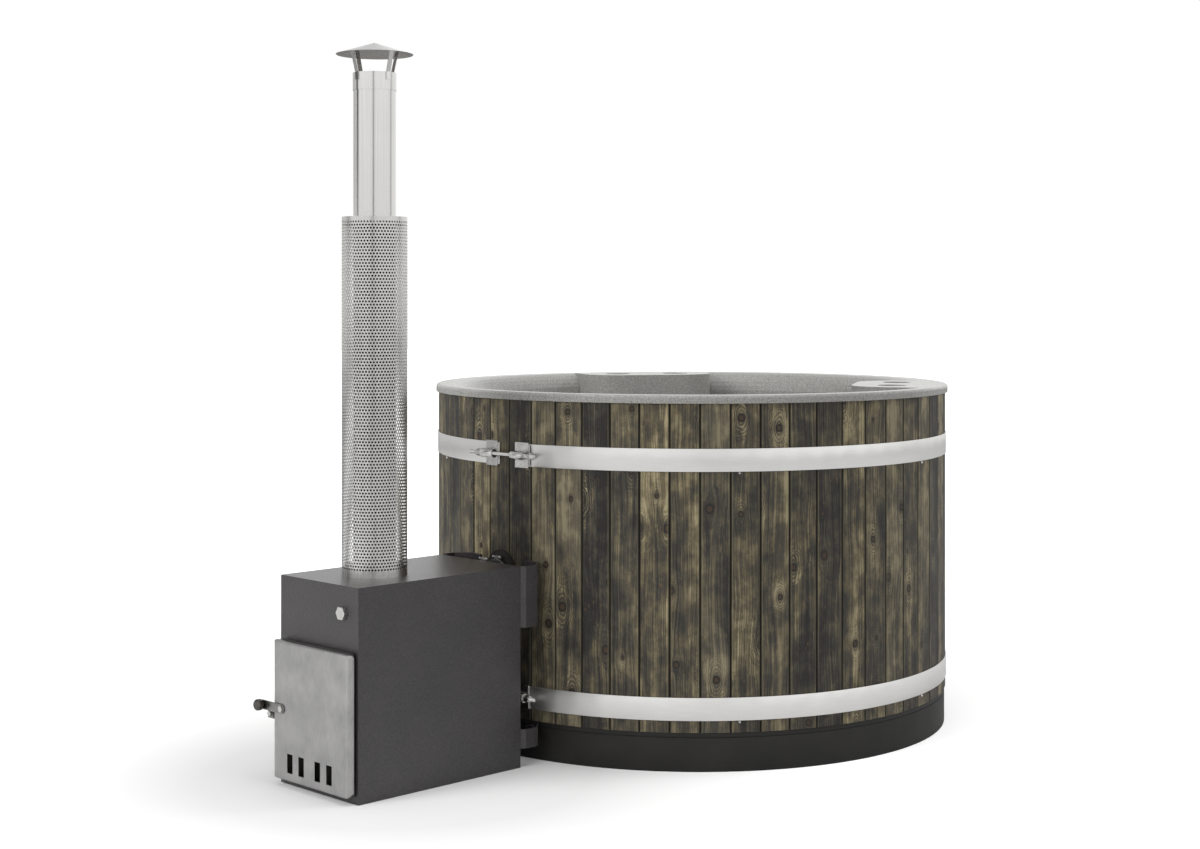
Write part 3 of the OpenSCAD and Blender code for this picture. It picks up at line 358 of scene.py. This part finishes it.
# pale arches round a knot, fading within four radii
arch = put(spruce, "Math", {0: oval, 1: 12.0}, operation="MULTIPLY")
arch = put(spruce, "Math", {0: arch}, operation="SINE")
arch = put(spruce, "MapRange", {0: arch, 1: 0.0, 2: 1.0})
fade = put(spruce, "MapRange", {0: oval, 1: 1.2, 2: 4.2, 3: 0.6, 4: 0.0})
arch = put(spruce, "Math", {0: arch, 1: fade}, operation="MULTIPLY")
tone = put(spruce, "Math", {0: arch, 1: knot_luck[2]}, operation="MULTIPLY")
for layer, weight in ((smoke, 0.38), (patch, 0.26), (streak, 0.26), (grain, 0.32), (fibre, 0.20),
                      (lot["Value"], 0.42)):
    tone = put(spruce, "Math", {0: layer, 1: weight, 2: tone}, operation="MULTIPLY_ADD")
wood = put(spruce, "ValToRGB", {0: put(spruce, "MapRange", {0: tone, 1: 0.46, 2: 1.42})}, stops=[
    (0.0, "#211f1d"), (0.28, "#32302c"), (0.5, "#484338"), (0.68, "#605844"),
    (0.85, "#7b7158"), (1.0, "#998e70")])
# some boards are colder where the stain is thin
cold = put(spruce, "MapRange", {0: luck[2], 1: 0.5, 2: 0.9, 3: 0.0, 4: 0.4})
cold = put(spruce, "Math", {0: cold, 1: smoke}, operation="MULTIPLY")
wood = put(spruce, "Mix", {0: cold, 6: wood, 7: linear("#4c4b47")}, out=2, data_type="RGBA")
# bare spots, where the planed wood stayed orange, are a few millimetres wide
bare = put(spruce, "MapRange",
           {0: clouds(0.008, 0.03, 4.0, 0.0, 1.0), 1: 0.62, 2: 0.73, 3: 0.0, 4: 0.6})
wood = put(spruce, "Mix", {0: bare, 6: wood, 7: linear("#7d6340")}, out=2, data_type="RGBA")

# knot: rusty heart, dark wood with its own rings, a dark rim and a dark halo
rings = put(spruce, "Math", {0: near, 1: 3.0}, operation="MULTIPLY")
rings = put(spruce, "Math", {0: rings}, operation="FRACT")
rings = put(spruce, "Math", {0: rings, 1: 0.14, 2: near}, operation="MULTIPLY_ADD")
knot_wood = put(spruce, "ValToRGB", {0: rings}, stops=[
    (0.0, "#1d1a17"), (0.2, "#2a231d"), (0.34, "#543d2a"), (0.46, "#3c3026"),
    (0.7, "#2c2824"), (0.95, "#1f1d1a")])
halo = put(spruce, "MapRange", {0: near, 1: 1.0, 2: 2.8, 3: 0.6, 4: 0.0})
wood = put(spruce, "Mix", {0: halo, 6: wood, 7: linear("#2f2c29")}, out=2, data_type="RGBA")
inside = put(spruce, "MapRange", {0: near, 1: 0.92, 2: 1.2, 3: 1.0, 4: 0.0})
wood = put(spruce, "Mix", {0: inside, 6: wood, 7: knot_wood}, out=2, data_type="RGBA")

# seam: the planed bevel carries a painted highlight, a pale line where it catches the light, and the seam
# between the boards is painted dark as shade, since no light gets down between them
edge = put(spruce, "Math", {0: across}, operation="ABSOLUTE")
edge = put(spruce, "Math", {0: BOARD_M / 2, 1: edge}, operation="SUBTRACT")
# painted highlight: a pale line along each bevel, for the light that the bevel catches
bevel_highlight = put(spruce, "MapRange",
           {0: edge, 1: SEAM_HALF_M + 0.0008, 2: SEAM_HALF_M + 0.004, 3: 0.5, 4: 0.0})
bevel_highlight = put(spruce, "Math", {0: bevel_highlight, 1: streak}, operation="MULTIPLY")
wood = put(spruce, "Mix", {0: bevel_highlight, 6: wood, 7: linear("#8a8268")}, out=2, data_type="RGBA")
# painted shade: the gap between the boards is painted near black
seam = put(spruce, "MapRange",
           {0: edge, 1: SEAM_HALF_M - 0.0012, 2: SEAM_HALF_M + 0.0012, 3: 0.9, 4: 0.0})
wood = put(spruce, "Mix", {0: seam, 6: wood, 7: linear("#141210")}, out=2, data_type="RGBA")
skin = put(spruce, "Math", {0: grain, 1: 0.8, 2: fibre}, operation="MULTIPLY_ADD")
put(spruce, shader, {
    "Base Color": wood,
    "Roughness": put(spruce, "MapRange", {0: fibre, 3: 0.52, 4: 0.7}),
    "Specular IOR Level": 0.35,
    "Normal": put(spruce, "Bump", {"Height": skin, "Strength": 0.3, "Distance": 0.0005}),
})
dress(spruce, "hose_board", "wall_boards")


# Straps. Two 60 by 2 mm stainless straps draw the boards together: a welded
# lug at each end, a threaded rod through both and a long nut outside each.
TUB_R_M = 0.75


def stainless(name, base, dull, streak_mm, length_mm, round_z=True, depth_mm=0.02,
              cloud_mm=200, cloudy=0.4):
    """Rolled or brushed stainless: fine lines along the way it was worked, and wider clouds."""
    made, own = coat(name)
    at = put(made, "TexCoord", out=3)
    part = put(made, "SeparateXYZ", {0: at}).node.outputs
    if round_z:
        here = put(made, "Math", {0: part[1], 1: part[0]}, operation="ARCTAN2")
        here = put(made, "Math", {0: here, 1: 1000 / length_mm * TUB_R_M}, operation="MULTIPLY")
        up = put(made, "Math", {0: part[2], 1: 1000 / streak_mm}, operation="MULTIPLY")
        lines = put(made, "CombineXYZ", {0: here, 1: up})
    else:
        repeats = (1000 / streak_mm, 1000 / streak_mm, 1000 / length_mm)
        lines = put(made, "VectorMath", {0: at, 1: repeats}, operation="MULTIPLY")
    streak = put(made, "TexNoise", {"Vector": lines, "Scale": 1.0, "Detail": 2.0})
    cloud = put(made, "TexNoise", {"Vector": at, "Scale": 1000 / cloud_mm, "Detail": 3.0})
    both = put(made, "Mix", {0: cloudy, 2: streak, 3: cloud})
    light, dark = base
    put(made, own, {
        "Base Color": put(made, "ValToRGB", {0: both}, stops=[(0.3, dark), (0.7, light)]),
        "Metallic": 1.0,
        "Roughness": put(made, "MapRange", {0: both, 1: 0.3, 2: 0.7, 3: dull - 0.05, 4: dull + 0.06}),
        "Normal": put(made, "Bump", {"Height": streak, "Strength": 0.2, "Distance": depth_mm / 1000}),
    })
    return made


# Cold rolled strip: pale grey, an even satin with lines along the strap.
strap_steel = stainless("rolled_stainless_strip", ("#e8e7e5", "#dddcda"), 0.42, 1.6, 60)
dress(strap_steel, "upper_band", "lower_band")
ease(0.5, "upper_band", "lower_band")

# Zinc plated steel of the bolts, nuts and clamps: bright, faintly cloudy.
ZINC_CLOUD_MM = 25
zinc, shader = coat("bright_zinc_plate")
place = put(zinc, "TexCoord", out=3)
cloud = put(zinc, "TexNoise", {"Vector": place, "Scale": 1000 / ZINC_CLOUD_MM, "Detail": 2.0})
put(zinc, shader, {
    "Base Color": put(zinc, "ValToRGB", {0: cloud}, stops=[(0.3, "#cbcac8"), (0.7, "#d8d7d5")]),
    "Metallic": 1.0,
    "Roughness": put(zinc, "MapRange", {0: cloud, 1: 0.3, 2: 0.7, 3: 0.2, 4: 0.32}),
    "Normal": put(zinc, "Bump", {"Height": cloud, "Strength": 0.05, "Distance": 0.0002}),
})
dress(zinc, "upper_band_lugs", "lower_band_lugs", "tension_nuts", "band_screws")
dress(zinc, "upper_tension_rod", "lower_tension_rod")
ease(0.6, "upper_band_lugs", "lower_band_lugs", "tension_nuts")


SAME_POINT_M = 1e-6


def model(name, points, faces, made, body, slot, replaced=(), sharp_deg=35):
    """A piece made here: its mesh, material, body and the CAD nodes that it stands for; slot is not used.
    """
    mesh = bpy.data.meshes.new(name)
    mesh.from_pydata(points, [], faces)
    skin = bmesh.new()
    skin.from_mesh(mesh)
    bmesh.ops.remove_doubles(skin, verts=skin.verts, dist=SAME_POINT_M)
    bmesh.ops.dissolve_degenerate(skin, edges=skin.edges, dist=SAME_POINT_M)
    bmesh.ops.holes_fill(skin, edges=skin.edges, sides=0)
    bmesh.ops.recalc_face_normals(skin, faces=skin.faces)
    skin.to_mesh(mesh)
    skin.free()
    mesh.materials.append(made)
    mesh.shade_smooth()
    mesh.set_sharp_from_angle(angle=math.radians(sharp_deg))
    piece = bpy.data.objects.new(name, mesh)
    bpy.context.collection.objects.link(piece)
    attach(piece, body)
    if replaced:
        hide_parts(*replaced)
    return piece


# the rods lie square to the tub's radius at the gap, which is 1.6 degrees off X
STRAP_TURN = math.radians(1.6)


def threaded_rod(name, node, pitch=0.0015, groove=0.0009, sides=16):
    """An M10 rod with a true helix cut in it, in the place of its plain CAD shaft, STRAP_TURN off X."""
    low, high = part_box(node)
    middle, outer = (low + high) / 2, (high.z - low.z) / 2
    half = ((high.x - low.x) / 2 - outer * math.sin(STRAP_TURN)) / math.cos(STRAP_TURN)
    rings = int(half * 2 / pitch * 2) + 2
    points, faces = [], []
    for i in range(rings):
        radius = outer if i % 2 else outer - groove
        for j in range(sides):
            x = min(max((i - 1 + j * 2 / sides) * pitch / 2 - half, -half), half)
            angle = FULL_TURN * j / sides
            spot = Vector((x, radius * math.cos(angle), radius * math.sin(angle)))
            points.append(middle + Matrix.Rotation(STRAP_TURN, 3, "Z") @ spot)
    for i in range(rings - 1):
        for j in range(sides - 1):
            a = i * sides + j
            faces.append((a, a + 1, a + 1 + sides, a + sides))
        # the last side climbs by one turn, two rings on
        if i + 3 < rings:
            a, b = i * sides + sides - 1, (i + 2) * sides
            faces.append((a, b, b + sides, a + sides))
    return model(name, points, faces, zinc, "tub_and_stove", "bright_steel", (node,), 60)


threaded_rod("upper_threaded_rod", "upper_tension_rod")
threaded_rod("lower_threaded_rod", "lower_tension_rod")


# Stove case. Folded from 3 mm sheet with a water jacket between it and the
# fire chamber; folded brackets behind its back corners tie it to the tub.
# Heat resistant paint: dark purplish grey, sprayed on with a pebbled skin about
# 4 mm across that breaks the highlight up.
PEBBLE_MM = 4
SHADES_PER_M = 6.0
stove_paint, shader = coat("textured_stove_paint")
place = put(stove_paint, "TexCoord", out=3)
pebble = put(stove_paint, "TexNoise", {"Vector": place, "Scale": 1000 / PEBBLE_MM, "Detail": 2.0})
cloud = put(stove_paint, "TexNoise", {"Vector": place, "Scale": SHADES_PER_M, "Detail": 4.0})
both = put(stove_paint, "Mix", {0: 0.3, 2: pebble, 3: cloud})
put(stove_paint, shader, {
    "Base Color": put(stove_paint, "ValToRGB", {0: both}, stops=[(0.3, "#1b191a"), (0.7, "#3b3739")]),
    "Roughness": put(stove_paint, "MapRange", {0: cloud, 3: 0.32, 4: 0.42}),
    "Specular IOR Level": 0.45,
    "Coat Weight": 0.5,
    "Coat Roughness": 0.3,
    "Normal": put(stove_paint, "Bump", {"Height": pebble, "Strength": 0.9, "Distance": 0.002}),
})
dress(stove_paint, "stove_casing", "water_stubs", "hinge_goosenecks")
dress(stove_paint, "upper_stove_brackets", "lower_stove_brackets")
ease(2.5, "stove_casing", steps=3)
ease(0.6, "upper_stove_brackets", "lower_stove_brackets")
dress(zinc, "jacket_plug", "bracket_screws")
ease(0.8, "jacket_plug")


# Fire chamber. Welded from 4 mm plate, with a cast grate on rails, a smoke
# baffle above it and the stub that the flue stands on.
# Sooted steel: black brown, matt, with paler ash dust in patches 6 cm wide.
ASH_MM = 62.5
sooted, shader = coat("sooted_plate")
place = put(sooted, "TexCoord", out=3)
ash = put(sooted, "TexNoise", {"Vector": place, "Scale": 1000 / ASH_MM, "Detail": 8.0, "Roughness": 0.65})
put(sooted, shader, {
    "Base Color": put(sooted, "ValToRGB", {0: ash}, stops=[
        (0.3, "#1b1917"), (0.6, "#2b2825"), (0.85, "#5a544c")]),
    "Metallic": 0.3,
    "Roughness": put(sooted, "MapRange", {0: ash, 3: 0.7, 4: 0.95}),
    "Normal": put(sooted, "Bump", {"Height": ash, "Strength": 0.3, "Distance": 0.001}),
})
dress(sooted, "firebox", "smoke_baffle", "door_inner_plate")

# Sand cast iron: near black, coarse skin from the sand.
SAND_MM = 1.4
cast_iron, shader = coat("sand_cast_iron")
place = put(cast_iron, "TexCoord", out=3)
sand = put(cast_iron, "TexNoise", {"Vector": place, "Scale": 1000 / SAND_MM, "Detail": 4.0})
put(cast_iron, shader, {
    "Base Color": put(cast_iron, "ValToRGB", {0: sand}, stops=[(0.3, "#211f1e"), (0.8, "#3a3632")]),
    "Metallic": 0.6,
    "Roughness": put(cast_iron, "MapRange", {0: sand, 3: 0.6, 4: 0.8}),
    "Normal": put(cast_iron, "Bump", {"Height": sand, "Strength": 0.6, "Distance": 0.0008}),
})
dress(cast_iron, "fire_grate")
ease(1.5, "fire_grate")


# Door. A pan pressed from 2 mm stainless, filled with mineral board and backed
# by a plate with a rope seal; two goosenecks carry it on concealed pins.
# Brushed stainless, handled and heated: greyer and colder than the straps, with
# cloudy patches 6 cm wide.
door_steel = stainless("brushed_door_stainless", ("#bebdbc", "#999898"), 0.32, 1.2, 25,
                       round_z=False, cloud_mm=60, cloudy=0.55)
dress(door_steel, "stove_door", "door_lugs")
ease(1.8, "stove_door", steps=3)

# Calcium silicate board: pressed flat, painted brown black as the shade inside the door's slots.
CHALK_PER_M = 260.0
fire_board, shader = coat("calcium_silicate_board")
place = put(fire_board, "TexCoord", out=3)
chalk = put(fire_board, "TexNoise", {"Vector": place, "Scale": CHALK_PER_M, "Detail": 5.0})
put(fire_board, shader, {
    # painted shade: the brown black stands in for the dark seen through the door's slots
    "Base Color": put(fire_board, "ValToRGB", {0: chalk}, stops=[(0.3, "#2f2b25"), (0.7, "#48423a")]),
    "Roughness": 0.9,
    "Normal": put(fire_board, "Bump", {"Height": chalk, "Strength": 0.3, "Distance": 0.0006}),
})
dress(fire_board, "door_insulation")

# Woven glass rope: black, the yarns cross every 3 mm. A slanting wave counts
# x, y and z together and is twice as long.
YARN_MM = 3
SLANTED = 2 / math.sqrt(3)
glass_rope, shader = coat("woven_glass_rope")
place = put(glass_rope, "TexCoord", out=3)
yarns = 1000 / YARN_MM * WAVE * SLANTED
yarn = put(glass_rope, "TexWave",
           {"Vector": place, "Scale": yarns, "Distortion": 1.5, "Detail": 1.0},
           bands_direction="DIAGONAL")
put(glass_rope, shader, {
    "Base Color": put(glass_rope, "ValToRGB", {0: yarn}, stops=[(0.2, "#141413"), (0.8, "#31302e")]),
    "Roughness": 0.95,
    "Normal": put(glass_rope, "Bump", {"Height": yarn, "Strength": 0.8, "Distance": 0.001}),
})
dress(glass_rope, "door_gasket")
dress(zinc, "hinge_pins")


# Latch. A flat steel handle turns on a rivet and lies over a keeper screwed to
# the case; its grip is a turned knob at the free end.
# Mild steel, bare and handled: a dark brown grey with an oily shine, darkest on
# the turned knob.
latch_steel = stainless("bare_mild_steel", ("#a09e9a", "#7b7976"), 0.30, 1.5, 15,
                        round_z=False, cloud_mm=12)
knob_steel = stainless("burnished_mild_steel", ("#6f6d69", "#4c4a47"), 0.24, 1.0, 8,
                       round_z=False, cloud_mm=8)
dress(latch_steel, "latch_handle", "latch_keeper")
dress(knob_steel, "latch_grip")
dress(zinc, "latch_pivot", "keeper_bolt")
ease(0.5, "latch_handle", "latch_keeper", "keeper_bolt")


# Flue. A spot welded stainless pipe stands on the stove's stub; a perforated
# guard hangs round it on spacers, and a cone on struts keeps the rain out.
# Rolled sheet: bright, with fine lines up the pipe; behind the guard the pipe is painted near black as
# shade, and the cone's underside is painted darker as shade.
PAINTED_GUARD_SHADE, PAINTED_CONE_SHADE = "#37332f", "#8b8884"
SHEET = ("#dedddc", "#d0cfce")
flue_steel = stainless("rolled_stainless_sheet", SHEET, 0.18, 2.0, 400, round_z=False, depth_mm=0.01)
dress(flue_steel, "cap_sleeve", "cap_struts")
dress(zinc, "guard_screws")


def paint_shade_over(made, where, hex_colour):
    """Lays a painted shade colour over a coat's own, as far as the factor where says."""
    own = made.node_tree.nodes["Principled BSDF"]
    unshaded_colour = own.inputs["Base Color"].links[0].from_socket
    both = put(made, "Mix", {0: where, 6: unshaded_colour, 7: linear(hex_colour)}, out=2, data_type="RGBA")
    put(made, own, {"Base Color": both})


SHADE_FADE_M = 0.02
guard_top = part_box("heat_guard")[1].z
pipe_steel = stainless("flue_sheet_painted_shade", SHEET, 0.18, 2.0, 400, round_z=False, depth_mm=0.01)
# painted shade: the pipe below the guard's top is painted near black for the shade inside the guard
up = put(pipe_steel, "SeparateXYZ", {0: put(pipe_steel, "TexCoord", out=3)}, out=2)
shaded_behind_guard = put(pipe_steel, "MapRange",
              {0: up, 1: guard_top - SHADE_FADE_M, 2: guard_top, 3: 1.0, 4: 0.0})
paint_shade_over(pipe_steel, shaded_behind_guard, PAINTED_GUARD_SHADE)
dress(pipe_steel, "flue_pipe", "guard_spacers")

cone_steel = stainless("cone_sheet_painted_shade", SHEET, 0.26, 2.0, 60)
# painted shade: faces turned downwards, the cone's underside, are painted darker for the shade under it
facing = put(cone_steel, "SeparateXYZ", {0: put(cone_steel, "NewGeometry", out=3)}, out=2)
under = put(cone_steel, "Math", {0: facing, 1: 0.0}, operation="LESS_THAN")
paint_shade_over(cone_steel, under, PAINTED_CONE_SHADE)
dress(cone_steel, "cap_cone")


# the sheet is drawn half as thick as the real one, so that as much shows through
def perforated_guard(columns=65, rows=110, hole=0.0028, below=0.017, above=0.010, thick=0.0005):
    """The guard's sheet: 5.6 mm holes 8 mm apart, each row half a pitch on, plain at both ends."""
    low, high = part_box("heat_guard")
    middle, outer = (low + high) / 2, (high.x - low.x) / 2
    points, faces, known = [], [], {}
    pitch = (high.z - low.z - below - above) / rows
    half_turn = FULL_TURN / (2 * columns)

    def point(angle, z, layer):
        """That point on the outer skin, 0, or the inner, 1; one made before comes again."""
        radius = outer - thick * layer
        key = (round(angle / half_turn * 64) % (128 * columns), round(z * 1e6), layer)
        if key not in known:
            known[key] = len(points)
            points.append((middle.x + radius * math.cos(angle), middle.y + radius * math.sin(angle), z))
        return known[key]

    def sheet(corners):
        outside = [point(a, z, 0) for a, z in corners]
        inside = [point(a, z, 1) for a, z in corners]
        faces.append(outside)
        faces.append(inside[::-1])

    base, top = low.z + below, high.z - above
    for k in range(2 * columns):
        a, b = k * half_turn, (k + 1) * half_turn
        sheet([(a, low.z), (b, low.z), (b, base), (a, base)])
        sheet([(a, top), (b, top), (b, high.z), (a, high.z)])
        for z in (low.z, high.z):
            ends = [point(a, z, 0), point(b, z, 0), point(b, z, 1), point(a, z, 1)]
            faces.append(ends if z == high.z else ends[::-1])
    for row in range(rows):
        z0 = base + row * pitch
        for column in range(columns):
            mid = (2 * column + 1 + row % 2) * half_turn
            zm = z0 + pitch / 2
            square = [(mid + half_turn * u, zm + pitch / 2 * v) for u, v in
                      ((1, 0), (1, 1), (0, 1), (-1, 1), (-1, 0), (-1, -1), (0, -1), (1, -1))]
            turns = [math.pi * i / 4 for i in range(8)]
            ring = [(mid + hole / outer * math.cos(t), zm + hole * math.sin(t)) for t in turns]
            for i in range(8):
                j = (i + 1) % 8
                sheet([square[i], square[j], ring[j], ring[i]])
                faces.append([point(*ring[i], 0), point(*ring[j], 0),
                              point(*ring[j], 1), point(*ring[i], 1)])
    return points, faces


guard_steel = stainless("perforated_stainless", ("#dddcd9", "#cccbc8"), 0.28, 2.0, 300, round_z=False)
model("perforated_guard", *perforated_guard(), guard_steel, "tub_and_stove", "guard_steel",
      ("heat_guard",), 45)


# Plumbing. Rubber hoses on the jacket's steel stubs carry the water through
# the wall; a flange and a grille clamp the liner round each hole.
# EPDM rubber: black, slightly dusty.
DUST_PER_M = 60.0
rubber, shader = coat("black_rubber")
place = put(rubber, "TexCoord", out=3)
dust = put(rubber, "TexNoise", {"Vector": place, "Scale": DUST_PER_M, "Detail": 5.0})
put(rubber, shader, {
    "Base Color": put(rubber, "ValToRGB", {0: dust}, stops=[(0.3, "#1a1a19"), (0.8, "#2d2c2a")]),
    "Roughness": put(rubber, "MapRange", {0: dust, 3: 0.5, 4: 0.75}),
    "Normal": put(rubber, "Bump", {"Height": dust, "Strength": 0.1, "Distance": 0.0004}),
})
dress(rubber, "upper_hose", "lower_hose", "drain_stopper")
dress(zinc, "hose_clamps", "clamp_screws")
ease(0.6, "hose_clamps")

# Injection moulded ABS: mid grey, satin, with the fine skin of its mould.
SKIN_PER_M = 900.0
abs_grey, shader = coat("grey_abs")
place = put(abs_grey, "TexCoord", out=3)
skin = put(abs_grey, "TexNoise", {"Vector": place, "Scale": SKIN_PER_M, "Detail": 2.0})
put(abs_grey, shader, {
    "Base Color": put(abs_grey, "ValToRGB", {0: skin}, stops=[(0.3, "#8b8a87"), (0.7, "#979693")]),
    "Roughness": put(abs_grey, "MapRange", {0: skin, 3: 0.36, 4: 0.5}),
    "Normal": put(abs_grey, "Bump", {"Height": skin, "Strength": 0.1, "Distance": 0.0002}),
})
dress(abs_grey, "inlet_grilles", "drain_flange", "drain_pipe")
